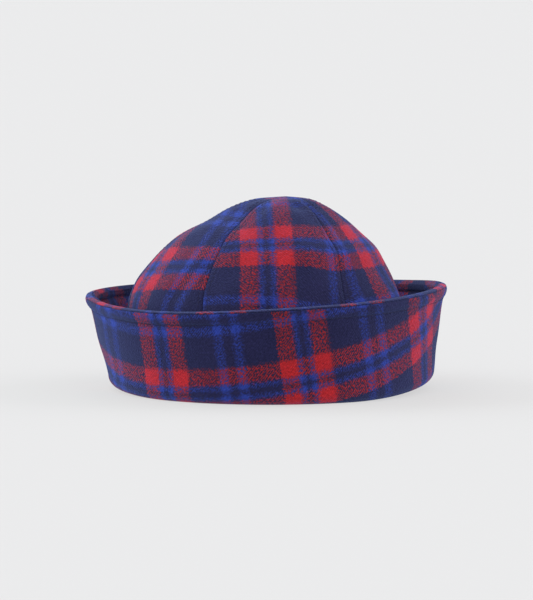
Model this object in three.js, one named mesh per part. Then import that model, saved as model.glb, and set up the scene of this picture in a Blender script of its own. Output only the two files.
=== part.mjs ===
import * as THREE from "three";

// A soft sailor hat of checked wool cloth, as it rests on a table.
// A domed crown is sewn from six gores, and a deep brim of two plies is turned up all round it.
// Millimetres, +Z up, the front is -Y and the wearer's left is +X. Azimuth is 0 at the front
// and grows towards +X. The origin is the middle of the brim's rim, on the table.

// Driving sizes
const HEAD_WIDTH = 182; // inside the head opening, from side to side
const HEAD_LENGTH = 186; // inside the head opening, from front to back
const CLOTH = 1.8; // one ply of the wool cloth
const SEAM_GAP = 0.3; // clearance between two pieces that are sewn together
const CROWN_HEIGHT = 121.6; // from the table to the crown's top point
const CROWN_SHIFT = 2.2; // the crown stands this far to +X of the rim's middle
const GORE_PUFF = 1.4; // how far a gore's middle stands out past its seams
const SEAM_PULL = 1.1; // how far the seams draw the whole crown in
const GORE_TIP = 1.1; // from the crown's top point to the end of each gore
const DENT_DEPTH = 2.6; // the deepest dent in the soft crown
const BRIM_HEIGHT = 61.3; // mean height of the turned-up brim
const BRIM_FLARE = 20.4; // how far the rim stands out past the crown's foot
const FOLD_FLAT = 1.2; // cloth pressed flat between the crown's foot and the fold
const FOLD_RADIUS = 8; // the round of the fold under the brim
const FOLD_LIFT = 4.2; // how far the fold rises off the table at the wearer's left
const FOLD_SWING = 1.6; // how far the fold swings out there
const HEM_DEPTH = 9.2; // the stitched edge band, measured down from the rim
const HEM_PUFF = 0.8; // how far the edge band swells
const HEM_ALLOWANCE = 3; // how far the seam allowances in the edge band swell it inwards
const RIM_ROLL = 1.6; // how far the inner ply rolls over the outer one at the rim

// Crown rings from the foot to the top point: rise is a share of the crown's height, and the
// four reaches are shares of the foot oval's half width and half length
const CROWN_RINGS = [
  { along: 0.0, rise: 0.0, left: 1.0, right: 1.0, front: 1.0, back: 1.0 },
  { along: 0.14, rise: 0.19, left: 0.995, right: 0.965, front: 0.985, back: 0.985 },
  { along: 0.31, rise: 0.43, left: 0.967, right: 0.9, front: 0.88, back: 0.935 },
  { along: 0.39, rise: 0.53, left: 0.925, right: 0.855, front: 0.8, back: 0.89 },
  { along: 0.48, rise: 0.64, left: 0.833, right: 0.79, front: 0.69, back: 0.82 },
  { along: 0.57, rise: 0.73, left: 0.73, right: 0.735, front: 0.59, back: 0.735 },
  { along: 0.66, rise: 0.81, left: 0.6, right: 0.625, front: 0.475, back: 0.625 },
  { along: 0.76, rise: 0.88, left: 0.43, right: 0.51, front: 0.363, back: 0.49 },
  { along: 0.86, rise: 0.94, left: 0.28, right: 0.41, front: 0.245, back: 0.34 },
  { along: 0.93, rise: 0.98, left: 0.12, right: 0.3, front: 0.14, back: 0.2 },
  { along: 1.0, rise: 1.0, left: -0.109, right: 0.109, front: 0.0, back: 0.0 },
];

// Seams of the crown: each gore starts at its own seam and ends at the next one, and the seam's
// azimuth in degrees drifts from the foot to the top point
const SEAMS = [
  { gore: "crown_gore_front", foot: -25.5, top: -38 },
  { gore: "crown_gore_front_right", foot: 35.5, top: 46 },
  { gore: "crown_gore_back_right", foot: 97, top: 100 },
  { gore: "crown_gore_back", foot: 156, top: 154 },
  { gore: "crown_gore_back_left", foot: 214, top: 207 },
  { gore: "crown_gore_front_left", foot: 273, top: 266 },
];

// Shallow dents of the soft crown: azimuth and width in degrees, place and length as shares of
// the way up a gore, and depth as a share of the deepest dent
const DENTS = [
  { azimuth: 22, along: 0.9, width: 15, length: 0.035, depth: 0.55 },
  { azimuth: 81, along: 0.6, width: 20, length: 0.07, depth: 0.4 },
  { azimuth: -51, along: 0.82, width: 20, length: 0.07, depth: 0.5 },
  { azimuth: -41, along: 0.38, width: 5, length: 0.05, depth: 0.45 },
  { azimuth: 128, along: 0.6, width: 24, length: 0.12, depth: 0.6 },
  { azimuth: 188, along: 0.5, width: 18, length: 0.12, depth: 0.6 },
  { azimuth: 243, along: 0.74, width: 26, length: 0.09, depth: 0.7 },
];

// Where the fold rises off the table: azimuth and half width in degrees, and shares of the lift
// and of the swing
const FOLD_LIFTS = [
  { azimuth: 92, width: 60, lift: 1.0, swing: 1.0 },
  { azimuth: 272, width: 45, lift: 0.33, swing: 0.0 },
];

// Waves of the rim: how many go round, their swing as a share of the brim's height, and the
// azimuth in degrees of a crest
const RIM_WAVES = [
  { count: 1, swing: 0.053, crest: 92 },
  { count: 2, swing: 0.03, crest: 70 },
  { count: 4, swing: 0.009, crest: 0 },
];

// The brim's wall from the top of the fold to the rim: up is a share of its height, and out is
// a share of its way out to the rim
const BRIM_WALL = [
  { up: 0.0, out: 0.0 },
  { up: 0.2, out: 0.16 },
  { up: 0.45, out: 0.44 },
  { up: 0.7, out: 0.66 },
  { up: 0.8, out: 0.76 },
  { up: 0.85, out: 0.87 },
  { up: 0.9, out: 0.96 },
  { up: 0.95, out: 1.0 },
  { up: 1.0, out: 0.95 },
];

// The swell of the edge band: down is a share of the hem's depth, swell of the hem's puff
// outwards and inside of the seam allowances inwards
const HEM_SWELL = [
  { down: 0.0, swell: 0.1, inside: 0.8 },
  { down: 0.2, swell: 0.6, inside: 0.95 },
  { down: 0.5, swell: 1.0, inside: 1.0 },
  { down: 0.8, swell: 0.6, inside: 0.75 },
  { down: 1.0, swell: -0.3, inside: 0.1 },
  { down: 1.3, swell: 0.0, inside: 0.0 },
];

// The inner ply's edge, rolled over the outer one: each row has one point in front and one
// behind, with its drop as a share of the roll and its depth as a share of the whole rim
const ROLLED_EDGE = [
  { frontDrop: 1.0, frontDepth: 0.04, backDrop: 1.7, backDepth: 0.97 },
  { frontDrop: 0.55, frontDepth: 0.1, backDrop: 0.9, backDepth: 0.88 },
  { frontDrop: 0.2, frontDepth: 0.24, backDrop: 0.3, backDepth: 0.75 },
  { frontDrop: 0.0, frontDepth: 0.42, backDrop: 0.0, backDepth: 0.6 },
];
const ROLL_BEHIND = 2.1; // the drop behind at which the roll starts, as a share of the roll

// Where the solids have their rows and columns
const GORE_ROWS = [0, 0.07, 0.14, 0.22, 0.31, 0.39, 0.48, 0.57, 0.66, 0.74, 0.81, 0.87, 0.93];
const GORE_COLUMNS = 7;
const BRIM_COLUMNS = 60;
const FOLD_ROWS = 3;
const WALL_ROWS = [0.2, 0.4, 0.6, 0.75];
const HEM_ROWS = [1.3, 1.0, 0.7, 0.4];

// Sizes worked out from the driving ones
const FOOT_X = HEAD_WIDTH / 2 + CLOTH;
const FOOT_Y = HEAD_LENGTH / 2 + CLOTH;
const RIM_X = FOOT_X + BRIM_FLARE;
const RIM_Y = FOOT_Y + BRIM_FLARE;
const FOLD_REACH = FOLD_FLAT + FOLD_RADIUS;
const CROWN_FOOT = CLOTH + SEAM_GAP;
const INNER_FRONT = CLOTH + SEAM_GAP;
const INNER_BACK = 2 * CLOTH + SEAM_GAP;
const RIM_THICKNESS = INNER_BACK + HEM_ALLOWANCE;
const STEP = 1e-3;

// The brim's path, numbered by its parts: 0 to 1 over the flat, to 2 round the fold, to 3 up the wall
const PATH_PARTS = ["pressed flat", "fold", "wall"];
const [FLAT_END, FOLD_END, RIM] = PATH_PARTS.map((_, part) => part + 1);

const radians = THREE.MathUtils.degToRad;

// Slope of a table's column at one row, zero where the column turns, so it never overshoots
function rowSlope(table, key, column, row) {
  if (row === 0 || row === table.length - 1) {
    const low = row === 0 ? 0 : row - 1;
    return (table[low + 1][column] - table[low][column]) / (table[low + 1][key] - table[low][key]);
  }
  const below = (table[row][column] - table[row - 1][column]) / (table[row][key] - table[row - 1][key]);
  const above = (table[row + 1][column] - table[row][column]) / (table[row + 1][key] - table[row][key]);
  return below * above <= 0 ? 0 : (2 * below * above) / (below + above);
}

// A smooth curve through one column of a table, read at a value of its key column
function follow(table, key, column, value) {
  const last = table.length - 1;
  if (value <= table[0][key]) return table[0][column];
  if (value >= table[last][key]) return table[last][column];
  let row = 0;
  while (table[row + 1][key] < value) row += 1;
  const span = table[row + 1][key] - table[row][key];
  const t = (value - table[row][key]) / span;
  const start = table[row][column];
  const end = table[row + 1][column];
  const leave = rowSlope(table, key, column, row) * span;
  const arrive = rowSlope(table, key, column, row + 1) * span;
  return (
    start * (2 * t ** 3 - 3 * t ** 2 + 1) +
    leave * (t ** 3 - 2 * t ** 2 + t) +
    end * (3 * t ** 2 - 2 * t ** 3) +
    arrive * (t ** 3 - t ** 2)
  );
}

// Unit normal of a surface point(u, v), turned to the side where u crossed with v points
function normalAt(point, u, v, vLow, vHigh) {
  const before = Math.max(vLow, v - STEP);
  const after = Math.min(vHigh, v + STEP);
  const alongU = point(u + STEP, v).sub(point(u - STEP, v));
  const alongV = point(u, after).sub(point(u, before));
  return alongU.cross(alongV).normalize();
}

// Share of the fold's lift or swing at one azimuth, each row a smooth bump
function liftShare(azimuth, column) {
  let share = 0;
  for (const row of FOLD_LIFTS) {
    const turn = azimuth - radians(row.azimuth);
    const near = Math.abs(Math.atan2(Math.sin(turn), Math.cos(turn))) / radians(row.width);
    share += near < 1 ? (row[column] * (1 + Math.cos(near * Math.PI))) / 2 : 0;
  }
  return share;
}

// The smooth oval dome that the gores follow, before they puff
function crownRing(along) {
  const read = (column) => follow(CROWN_RINGS, "along", column, along);
  return {
    height: CROWN_FOOT + read("rise") * (CROWN_HEIGHT - CROWN_FOOT),
    middleX: CROWN_SHIFT + ((read("right") - read("left")) / 2) * FOOT_X,
    middleY: ((read("back") - read("front")) / 2) * FOOT_Y,
    halfX: ((read("right") + read("left")) / 2) * FOOT_X,
    halfY: ((read("back") + read("front")) / 2) * FOOT_Y,
  };
}

function crownPoint(azimuth, along) {
  const ring = crownRing(along);
  return new THREE.Vector3(
    ring.middleX + ring.halfX * Math.sin(azimuth),
    ring.middleY - ring.halfY * Math.cos(azimuth),
    ring.height + FOLD_LIFT * liftShare(azimuth, "lift") * (1 - along) ** 2,
  );
}

// How far the dents press the crown in at one place
function dentDepth(azimuth, along) {
  let depth = 0;
  for (const dent of DENTS) {
    const turn = Math.sin((azimuth - radians(dent.azimuth)) / 2) * 2;
    const across = turn / radians(dent.width);
    const up = (along - dent.along) / dent.length;
    depth += dent.depth * DENT_DEPTH * Math.exp(-(across ** 2) - up ** 2);
  }
  return depth;
}

// Azimuth of a seam, which drifts faster towards the top
function seamAzimuth(seam, along) {
  return radians(seam.foot + (seam.top - seam.foot) * along ** 2);
}

// The share of the way up where the crown's rings have shrunk to the gores' tips
function tipAlong() {
  let low = 0;
  let high = 1;
  for (let halving = 0; halving < 40; halving += 1) {
    const middle = (low + high) / 2;
    const ring = crownRing(middle);
    if ((ring.halfX + ring.halfY) / 2 > GORE_TIP) low = middle;
    else high = middle;
  }
  return low;
}

// Point of a gore's outer face: across runs from -1 at its own seam to 1 at the next one
function gorePoint(seam, next, across, along) {
  const ring = crownRing(along);
  const start = seamAzimuth(seam, along);
  const end = seamAzimuth(next, along);
  const trim = (azimuth) =>
    SEAM_GAP / 2 / Math.hypot(ring.halfX * Math.cos(azimuth), ring.halfY * Math.sin(azimuth));
  const from = start + trim(start);
  const to = end - trim(end);
  const azimuth = from + ((to - from) * (across + 1)) / 2;
  const rise = THREE.MathUtils.smoothstep(along, 0, 0.15) * THREE.MathUtils.smoothstep(1 - along, 0, 0.15);
  const puff = rise * (GORE_PUFF * (1 - across ** 2) - SEAM_PULL);
  const normal = normalAt(crownPoint, azimuth, along, 0, 1);
  const outer = crownPoint(azimuth, along).addScaledVector(normal, puff - dentDepth(azimuth, along));
  return { outer, inner: outer.clone().addScaledVector(normal, -CLOTH) };
}

// Height of the rim above the table
function rimHeight(azimuth) {
  let share = 1;
  for (const wave of RIM_WAVES) {
    share += wave.swing * Math.cos(wave.count * (azimuth - radians(wave.crest)));
  }
  return BRIM_HEIGHT * share;
}

// Height of the top of the fold, where the wall starts
function foldTop(azimuth) {
  return FOLD_RADIUS + FOLD_LIFT * liftShare(azimuth, "lift");
}

// The brim's outer face: flat under the crown's foot, round the fold and up the flared wall
function brimPoint(azimuth, path) {
  const east = Math.sin(azimuth);
  const north = -Math.cos(azimuth);
  const swing = FOLD_SWING * liftShare(azimuth, "swing") * Math.min(1, path / FOLD_END);
  if (path <= FOLD_END) {
    const turn = Math.max(0, path - FLAT_END) * (Math.PI / 2);
    const flat = -CLOTH + (FOLD_FLAT + CLOTH) * Math.min(path, FLAT_END);
    const reach = flat + FOLD_RADIUS * Math.sin(turn) + swing;
    const height = foldTop(azimuth) - FOLD_RADIUS * Math.cos(turn);
    return new THREE.Vector3(CROWN_SHIFT + (FOOT_X + reach) * east, (FOOT_Y + reach) * north, height);
  }
  const up = path - FOLD_END;
  const out = follow(BRIM_WALL, "up", "out", up);
  const foldX = CROWN_SHIFT + (FOOT_X + FOLD_REACH + swing) * east;
  const foldY = (FOOT_Y + FOLD_REACH + swing) * north;
  return new THREE.Vector3(
    foldX + (RIM_X * east - foldX) * out,
    foldY + (RIM_Y * north - foldY) * out,
    foldTop(azimuth) + up * (rimHeight(azimuth) - foldTop(azimuth)),
  );
}

// Path value of a point that lies a given drop below the rim
function pathBelowRim(azimuth, drop) {
  return RIM - drop / (rimHeight(azimuth) - foldTop(azimuth));
}

// A point at a depth inside the brim's outer face
function brimDeep(azimuth, path, depth) {
  const normal = normalAt(brimPoint, azimuth, path, 0, RIM);
  return brimPoint(azimuth, path).addScaledVector(normal, -depth);
}

// How far the edge band swells outwards and inwards at a drop below the rim
function hemSwell(drop) {
  return HEM_PUFF * follow(HEM_SWELL, "down", "swell", drop / HEM_DEPTH);
}

function allowanceSwell(drop) {
  return HEM_ALLOWANCE * follow(HEM_SWELL, "down", "inside", drop / HEM_DEPTH);
}

// Triangles between two grids of points, an outer and an inner one, as one closed body. Rows run
// up the cloth and columns to its right as seen from outside, and a ring's columns close on
// themselves.
function clothSolid(outer, inner, isRing) {
  const rows = outer.length;
  const columns = outer[0].length;
  const points = [...outer.flat(), ...inner.flat()];
  const outside = (row, column) => row * columns + (column % columns);
  const inside = (row, column) => rows * columns + outside(row, column);
  const index = [];
  const quad = (a, b, c, d) => index.push(a, b, c, a, c, d);
  const spans = isRing ? columns : columns - 1;
  for (let column = 0; column < spans; column += 1) {
    for (let row = 0; row < rows - 1; row += 1) {
      const up = row + 1;
      const right = column + 1;
      quad(outside(row, column), outside(row, right), outside(up, right), outside(up, column));
      quad(inside(row, column), inside(up, column), inside(up, right), inside(row, right));
    }
    quad(outside(0, column + 1), outside(0, column), inside(0, column), inside(0, column + 1));
    const top = rows - 1;
    quad(outside(top, column), outside(top, column + 1), inside(top, column + 1), inside(top, column));
  }
  if (!isRing) {
    const side = columns - 1;
    for (let row = 0; row < rows - 1; row += 1) {
      quad(outside(row, 0), outside(row + 1, 0), inside(row + 1, 0), inside(row, 0));
      quad(outside(row + 1, side), outside(row, side), inside(row, side), inside(row + 1, side));
    }
  }
  const geometry = new THREE.BufferGeometry().setFromPoints(points);
  geometry.setIndex(index);
  geometry.computeVertexNormals();
  return geometry;
}

function crownGore(seam, next) {
  const ending = { foot: next.foot, top: next.top };
  if (next.foot < seam.foot) {
    ending.foot += 360;
    ending.top += 360;
  }
  const outer = [];
  const inner = [];
  for (const along of [...GORE_ROWS, tipAlong()]) {
    const across = Array.from({ length: GORE_COLUMNS + 1 }, (_, column) => (2 * column) / GORE_COLUMNS - 1);
    const points = across.map((share) => gorePoint(seam, ending, share, along));
    outer.push(points.map((point) => point.outer));
    inner.push(points.map((point) => point.inner));
  }
  return clothSolid(outer, inner, false);
}

// Azimuths of the brim's columns
function brimAzimuths() {
  return Array.from({ length: BRIM_COLUMNS }, (_, column) => (column / BRIM_COLUMNS) * Math.PI * 2);
}

// Path values that both plies share, from a start on the flat up to the hem
function plyPath(azimuth, start) {
  const fold = Array.from({ length: FOLD_ROWS }, (_, row) => FLAT_END + (row + 1) / FOLD_ROWS);
  const wall = WALL_ROWS.map((up) => FOLD_END + up);
  const hem = HEM_ROWS.map((share) => pathBelowRim(azimuth, share * HEM_DEPTH));
  return [start, FLAT_END, ...fold, ...wall, ...hem];
}

// Drop below the rim of a path value
function dropAt(azimuth, path) {
  return (RIM - path) * (rimHeight(azimuth) - foldTop(azimuth));
}

// Columns of points turned into rows, as the solid needs them
function columnsToRows(columns) {
  return columns[0].map((_, row) => columns.map((column) => column[row]));
}

function brimOuterPly() {
  const outer = [];
  const inner = [];
  for (const azimuth of brimAzimuths()) {
    const edge = pathBelowRim(azimuth, RIM_ROLL + SEAM_GAP);
    const path = [...plyPath(azimuth, 0), edge];
    outer.push(path.map((at) => brimDeep(azimuth, at, -hemSwell(dropAt(azimuth, at)))));
    inner.push(path.map((at) => brimDeep(azimuth, at, CLOTH)));
  }
  return clothSolid(columnsToRows(outer), columnsToRows(inner), true);
}

function brimInnerPly() {
  const start = (CLOTH + SEAM_GAP) / (CLOTH + FOLD_FLAT);
  const outer = [];
  const inner = [];
  for (const azimuth of brimAzimuths()) {
    const inside = (at) => brimDeep(azimuth, at, INNER_BACK + allowanceSwell(dropAt(azimuth, at)));
    const path = plyPath(azimuth, start);
    const front = path.map((at) => brimDeep(azimuth, at, INNER_FRONT));
    const back = path.map(inside);
    front.push(brimDeep(azimuth, pathBelowRim(azimuth, RIM_ROLL), INNER_FRONT));
    back.push(inside(pathBelowRim(azimuth, ROLL_BEHIND * RIM_ROLL)));
    for (const row of ROLLED_EDGE) {
      const frontDrop = row.frontDrop * RIM_ROLL;
      const frontDepth = row.frontDepth * RIM_THICKNESS - (1 - row.frontDepth) * hemSwell(frontDrop);
      const backDepth = row.backDepth * RIM_THICKNESS;
      front.push(brimDeep(azimuth, pathBelowRim(azimuth, frontDrop), frontDepth));
      back.push(brimDeep(azimuth, pathBelowRim(azimuth, row.backDrop * RIM_ROLL), backDepth));
    }
    outer.push(front);
    inner.push(back);
  }
  return clothSolid(columnsToRows(outer), columnsToRows(inner), true);
}

function woolCloth(color) {
  return new THREE.MeshStandardMaterial({ color, roughness: 0.95, metalness: 0 });
}

function named(name, geometry, material) {
  const mesh = new THREE.Mesh(geometry, material);
  mesh.name = name;
  return mesh;
}

const hat = new THREE.Group();
SEAMS.forEach((seam, place) => {
  const next = SEAMS[(place + 1) % SEAMS.length];
  hat.add(named(seam.gore, crownGore(seam, next), woolCloth(0x4a3350)));
});
hat.add(named("brim_outer", brimOuterPly(), woolCloth(0x46304c)));
hat.add(named("brim_inner", brimInnerPly(), woolCloth(0x3a2a45)));

export default hat;
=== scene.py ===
# %% [markdown]
# The hat is a soft sailor hat of checked wool flannel. Its crown is a dome of gores, and a deep
# brim of two plies is turned up all round it. The imported model already holds every piece as a
# plain wall at its real size. This lesson dresses each wall in fine cloth: it works out the
# surfaces again on dense grids, adds the seams, the puffed hem and the stitches, and lays the
# check along the threads of each cut piece. Loading the frame comes first, because each new
# piece takes the place of one of its walls.

# %% Load the frame and keep its box
import math

import bpy
import numpy as np
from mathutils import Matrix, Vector


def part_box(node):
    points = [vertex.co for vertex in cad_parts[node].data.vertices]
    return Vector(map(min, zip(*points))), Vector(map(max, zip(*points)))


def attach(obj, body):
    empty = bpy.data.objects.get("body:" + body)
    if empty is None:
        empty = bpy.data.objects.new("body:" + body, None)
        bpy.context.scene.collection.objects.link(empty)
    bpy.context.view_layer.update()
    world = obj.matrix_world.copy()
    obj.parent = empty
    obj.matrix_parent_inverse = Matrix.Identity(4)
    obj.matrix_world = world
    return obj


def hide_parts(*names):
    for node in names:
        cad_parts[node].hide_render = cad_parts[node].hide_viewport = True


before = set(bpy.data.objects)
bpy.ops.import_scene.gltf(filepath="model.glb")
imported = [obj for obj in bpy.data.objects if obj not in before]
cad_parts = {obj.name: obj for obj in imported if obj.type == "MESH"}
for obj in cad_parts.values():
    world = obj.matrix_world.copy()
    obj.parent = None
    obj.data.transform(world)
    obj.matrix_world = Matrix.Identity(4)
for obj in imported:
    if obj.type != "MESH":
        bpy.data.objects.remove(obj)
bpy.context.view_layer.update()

# %% [markdown]
# A maker starts with a few sizes, and so does this file. The lengths are in metres, and the
# tables hold shares of them and angles in degrees, nearly as the plain walls have them. The cloth
# was fitted a little further than the walls: its brim stands 0.7 mm higher, its crown's upper
# sides are up to 1.4 mm narrower, and the roll at its rim is half a millimetre deeper, because real
# cloth puffs down over the edge that it covers. The cell prints one size beside the frame's own, so
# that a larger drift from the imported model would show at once.

# %% Sizes of the hat
MM = 0.001
HEAD_WIDTH = 182 * MM
HEAD_LENGTH = 186 * MM
CLOTH = 1.8 * MM
CROWN_HEIGHT = 121.6 * MM
CROWN_SHIFT = 2.2 * MM
CROWN_FOOT = 2.1 * MM
GORE_PUFF = 1.4 * MM
SEAM_PULL = 1.1 * MM
DENT_DEPTH = 2.6 * MM
BRIM_HEIGHT = 62 * MM
BRIM_FLARE = 20.4 * MM
FOLD_FLAT = 1.2 * MM
FOLD_RADIUS = 8 * MM
FOLD_LIFT = 4.2 * MM
FOLD_SWING = 1.6 * MM
HEM_DEPTH = 9.2 * MM
HEM_PUFF = 0.8 * MM
HEM_ALLOWANCE = 3 * MM
RIM_ROLL = 2.1 * MM
PLY_GAP = 0.1 * MM

FOOT_X = HEAD_WIDTH / 2 + CLOTH
FOOT_Y = HEAD_LENGTH / 2 + CLOTH
RIM_X = FOOT_X + BRIM_FLARE
RIM_Y = FOOT_Y + BRIM_FLARE

CROWN_RINGS = {
    "along": [0.0, 0.14, 0.31, 0.39, 0.48, 0.57, 0.66, 0.76, 0.86, 0.93, 1.0],
    "rise": [0.0, 0.19, 0.43, 0.53, 0.64, 0.73, 0.81, 0.88, 0.94, 0.98, 1.0],
    "left": [1.0, 0.995, 0.967, 0.925, 0.825, 0.72, 0.59, 0.425, 0.28, 0.12, -0.109],
    "right": [1.0, 0.965, 0.9, 0.85, 0.785, 0.73, 0.615, 0.5, 0.395, 0.285, 0.109],
    "front": [1.0, 0.985, 0.88, 0.8, 0.69, 0.59, 0.475, 0.363, 0.245, 0.14, 0.0],
    "back": [1.0, 0.985, 0.935, 0.89, 0.82, 0.735, 0.625, 0.49, 0.34, 0.2, 0.0],
}
SEAMS = {
    "front": (-25.5, -38),
    "front_right": (35.5, 46),
    "back_right": (97, 100),
    "back": (156, 154),
    "back_left": (214, 207),
    "front_left": (273, 266),
}
DENTS = [
    {"azimuth": 22, "along": 0.9, "width": 15, "length": 0.035, "depth": 0.55},
    {"azimuth": 81, "along": 0.6, "width": 20, "length": 0.07, "depth": 0.4},
    {"azimuth": -51, "along": 0.82, "width": 20, "length": 0.07, "depth": 0.5},
    {"azimuth": -41, "along": 0.38, "width": 5, "length": 0.05, "depth": 0.45},
    {"azimuth": 128, "along": 0.6, "width": 24, "length": 0.12, "depth": 0.6},
    {"azimuth": 188, "along": 0.5, "width": 18, "length": 0.12, "depth": 0.6},
    {"azimuth": 243, "along": 0.74, "width": 26, "length": 0.09, "depth": 0.7},
]
FOLD_LIFTS = [
    {"azimuth": 92, "width": 60, "lift": 1.0, "swing": 1.0},
    {"azimuth": 272, "width": 45, "lift": 0.33, "swing": 0.0},
]
RIM_WAVES = [(1, 0.053, 92), (2, 0.03, 70), (4, 0.009, 0)]
BRIM_WALL = {
    "up": [0.0, 0.2, 0.45, 0.7, 0.8, 0.85, 0.9, 0.95, 1.0],
    "out": [0.0, 0.16, 0.44, 0.66, 0.76, 0.87, 0.96, 1.0, 0.95],
}

rim_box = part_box("brim_outer")
print("rim half width", round(RIM_X, 4), "in the frame", round(rim_box[1][0], 4))

# %% [markdown]
# Every form here is read from a short table. The curve through a table's rows has to be smooth,
# but it must not bulge between them, or a dome would get rings. A cubic with its slopes held to
# the gentler side of each row does that, and numpy reads it for a whole grid at once.

# %% Smooth curves and surface normals
STEP = 1e-4


def follow(table, key, column, at):
    """Cubic curve through a table's rows: at each row its slope is the harmonic mean of the
    slopes on both sides, or zero where the column turns."""
    x, y = np.array(table[key], float), np.array(table[column], float)
    rise = np.diff(y) / np.diff(x)
    before, after = rise[:-1], rise[1:]
    same_way = before * after > 0
    total = np.where(same_way, before + after, 1)
    slope = np.concatenate([rise[:1], np.where(same_way, 2 * before * after / total, 0), rise[-1:]])
    at = np.clip(at, x[0], x[-1])
    row = np.clip(np.searchsorted(x, at, side="right") - 1, 0, len(x) - 2)
    span = x[row + 1] - x[row]
    t = (at - x[row]) / span
    return (
        y[row] * (2 * t**3 - 3 * t**2 + 1)
        + slope[row] * span * (t**3 - 2 * t**2 + t)
        + y[row + 1] * (3 * t**2 - 2 * t**3)
        + slope[row + 1] * span * (t**3 - t**2)
    )


def smooth(value, low, high):
    """Rises from 0 at low to 1 at high along 3t squared minus 2t cubed."""
    t = np.clip((value - low) / (high - low), 0, 1)
    return t * t * (3 - 2 * t)


def normals(surface, u, v, v_low, v_high):
    """Unit normals of surface(u, v): the cross product of its two slopes."""
    along_u = surface(u + STEP, v) - surface(u - STEP, v)
    along_v = surface(u, np.minimum(v + STEP, v_high)) - surface(u, np.maximum(v - STEP, v_low))
    crossed = np.cross(along_u, along_v)
    return crossed / np.linalg.norm(crossed, axis=-1, keepdims=True)


# %% [markdown]
# The crown leans a little, and its front slopes in more than its back, as a soft hat's does when
# it stands by itself. So each ring of the dome is an oval with its own middle. A gore then puffs
# out between its seams, and the dents of the soft cloth press it in.

# %% The dome under the gores
def crown_ring(along):
    """Height, middle and half axes of the oval at one share of the way up."""
    columns = ("rise", "left", "right", "front", "back")
    shares = [follow(CROWN_RINGS, "along", column, along) for column in columns]
    rise, left, right, front, back = shares
    height = CROWN_FOOT + rise * (CROWN_HEIGHT - CROWN_FOOT)
    middle_x = CROWN_SHIFT + (right - left) / 2 * FOOT_X
    middle_y = (back - front) / 2 * FOOT_Y
    return height, middle_x, middle_y, (right + left) / 2 * FOOT_X, (back + front) / 2 * FOOT_Y


def lift_share(azimuth, column):
    """Sum of bumps, each half of one plus a cosine, where the fold rises off the table."""
    share = 0 * azimuth
    for row in FOLD_LIFTS:
        turn = azimuth - math.radians(row["azimuth"])
        near = np.abs(np.arctan2(np.sin(turn), np.cos(turn))) / math.radians(row["width"])
        share = share + row[column] * (1 + np.cos(np.minimum(near, 1) * np.pi)) / 2
    return share


def crown_point(azimuth, along):
    """Middle plus half axes times the sine and the cosine of the azimuth, front at -Y. The lift
    of the foot fades with the square of the way left to the top."""
    height, middle_x, middle_y, half_x, half_y = crown_ring(along)
    height = height + FOLD_LIFT * lift_share(azimuth, "lift") * (1 - along) ** 2
    x = middle_x + half_x * np.sin(azimuth)
    y = middle_y - half_y * np.cos(azimuth)
    return np.stack([x, y, height], -1)


def ring_speed(azimuth, along):
    """Length of ring per radian of azimuth."""
    _, _, _, half_x, half_y = crown_ring(along)
    return np.hypot(half_x * np.cos(azimuth), half_y * np.sin(azimuth))


def dent_depth(azimuth, along):
    """Sum of round hollows, each a bell curve across and along the gore."""
    depth = 0 * azimuth
    for dent in DENTS:
        turn = 2 * np.sin((azimuth - math.radians(dent["azimuth"])) / 2)
        across = turn / math.radians(dent["width"])
        up = (along - dent["along"]) / dent["length"]
        depth = depth + dent["depth"] * DENT_DEPTH * np.exp(-(across**2) - up**2)
    return depth


# %% [markdown]
# Where two gores meet, the seam allowances are pressed under one side and stitched down. From
# outside that makes a valley at the seam, a low ridge over the doubled cloth, and a fine groove
# where the stitches pull. One table holds that section, by distance from the seam. A few crossed
# waves of different lengths make the cloth uneven by listed amounts.

# %% Relief of a gore
SEAM_SECTION = {
    "distance": [v * MM for v in (0.0, 0.4, 0.9, 1.5, 2.2, 2.8, 3.2, 3.6, 4.4, 6.0)],
    "rise": [v * MM for v in (-0.26, -0.1, 0.0, 0.05, 0.06, 0.02, -0.04, 0.0, 0.02, 0.0)],
}
SEAM_STITCH = 3.2 * MM
SEAM_GAP = 0.04 * MM
SHALLOW_SEAM = 0.2
NARROW_GORE, WIDE_GORE = 3 * MM, 34 * MM
FLAT_ENDS = 0.15
WAVES_FROM, WAVES_FULL = 2 * MM, 10 * MM
CLOTH_WAVES = [
    {"around": 5.0, "up": 9.0, "phase": 0.4, "rise": 0.30 * MM},
    {"around": -8.0, "up": 14.0, "phase": 2.1, "rise": 0.22 * MM},
    {"around": 13.0, "up": 21.0, "phase": 4.4, "rise": 0.13 * MM},
    {"around": -21.0, "up": 33.0, "phase": 1.3, "rise": 0.08 * MM},
]


def cloth_waves(azimuth, along):
    """Sum of sines that run across the crown at different slants."""
    rise = 0 * azimuth
    for wave in CLOTH_WAVES:
        turns = wave["around"] * azimuth + wave["up"] * along + wave["phase"]
        rise = rise + wave["rise"] * np.sin(turns)
    return rise


def seam_azimuths(gore, along):
    """Azimuths of the seams on both sides of a gore, drifting with the square of the way up."""
    names = list(SEAMS)
    foot, top = SEAMS[gore]
    next_foot, next_top = SEAMS[names[(names.index(gore) + 1) % len(names)]]
    if next_foot < foot:
        next_foot, next_top = next_foot + 360, next_top + 360
    start = np.radians(foot + (top - foot) * along**2)
    end = np.radians(next_foot + (next_top - next_foot) * along**2)
    return start, end


def gore_azimuth(gore, across, along):
    """Azimuth of a point at -1 to 1 across a gore, and the gore's half width there."""
    start, end = seam_azimuths(gore, along)
    start = start + SEAM_GAP / 2 / ring_speed(start, along)
    end = end - SEAM_GAP / 2 / ring_speed(end, along)
    middle = (start + end) / 2
    half_width = (end - start) / 2 * ring_speed(middle, along)
    return start + (end - start) * (across + 1) / 2, half_width


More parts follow.
